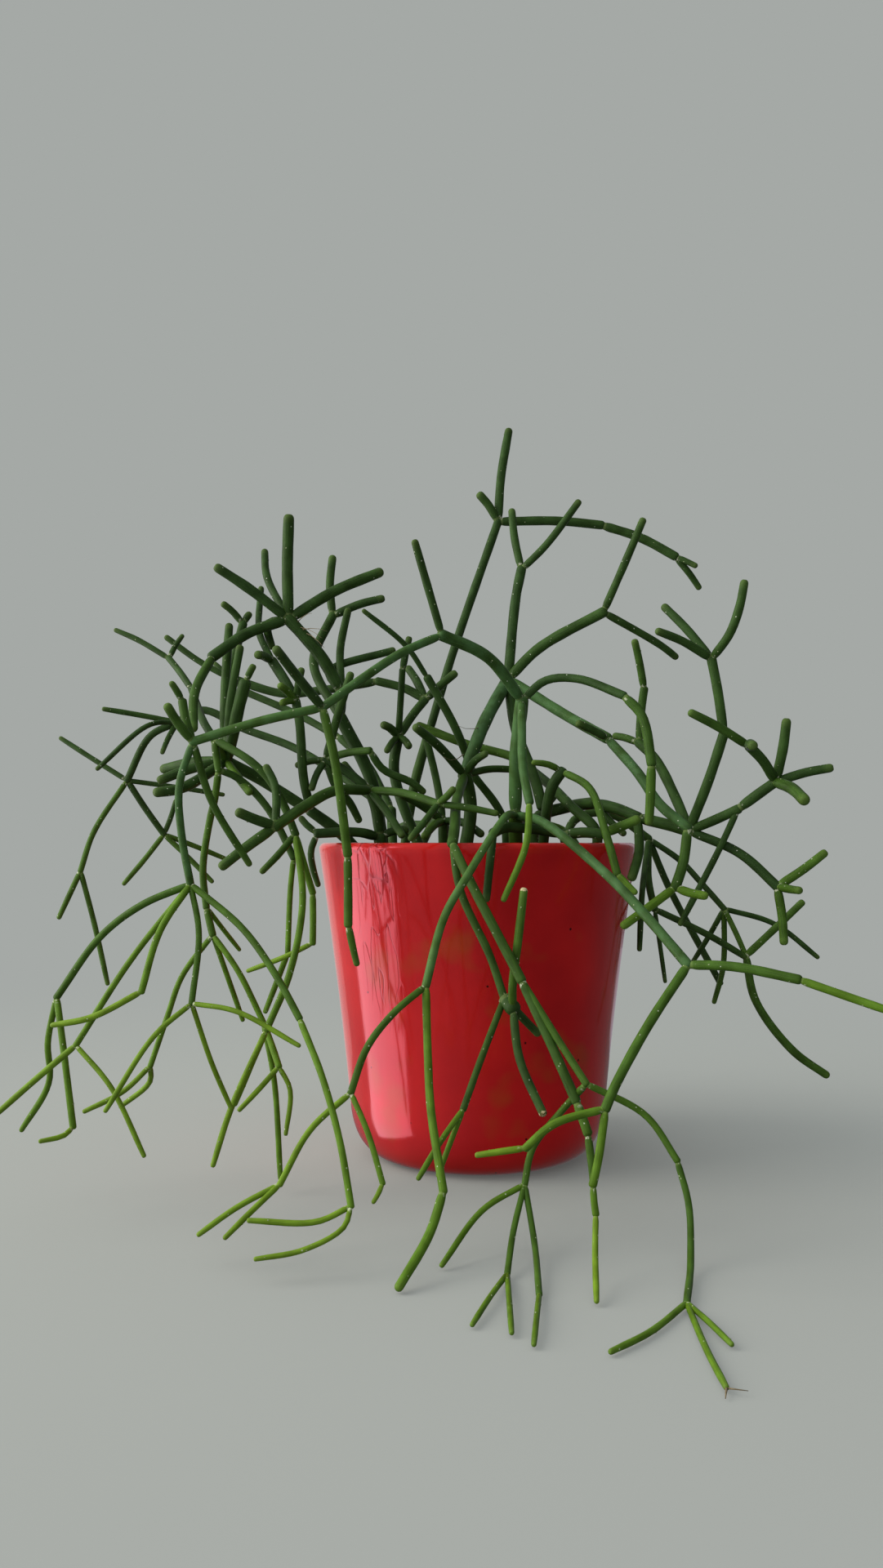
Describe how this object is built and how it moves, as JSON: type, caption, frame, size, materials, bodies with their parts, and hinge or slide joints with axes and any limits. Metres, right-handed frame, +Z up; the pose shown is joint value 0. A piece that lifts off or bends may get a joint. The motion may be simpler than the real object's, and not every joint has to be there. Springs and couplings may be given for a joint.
{
  "type": "potted rhipsalis",
  "caption": "Mistletoe cactus with thin, jointed, leafless stems that arch over and trail from a tapered, round, red glazed pot, for standing on a surface.",
  "frame": {"origin": "middle of the pot's flat underside, on the surface that the pot stands on", "axes": "+Z up along the pot's axis, -Y towards the side that the picture shows, +X to that side's right"},
  "size_m": [0.3488, 0.336, 0.3192],
  "materials": {
    "glaze": "glossy deep red glaze",
    "potting_mix": "loose and matt",
    "old_stem": "waxy dark green",
    "young_stem": "waxy light green"
  },
  "bodies": {
    "root": {"pot": "glaze", "soil": "potting_mix", "spray_tall": "old_stem", "spray_arch": "old_stem", "spray_left": "young_stem", "spray_left_back": "old_stem", "spray_whorl": "old_stem", "spray_rim_left": "old_stem", "spray_middle": "old_stem", "spray_straight": "old_stem", "spray_dark": "old_stem", "spray_short": "old_stem", "spray_inner_right": "old_stem", "spray_front_right": "old_stem", "spray_rim_front": "old_stem", "spray_right": "young_stem", "spray_thin_right": "old_stem", "spray_back_left": "old_stem", "spray_back_right": "old_stem"}
  },
  "joints": []
}
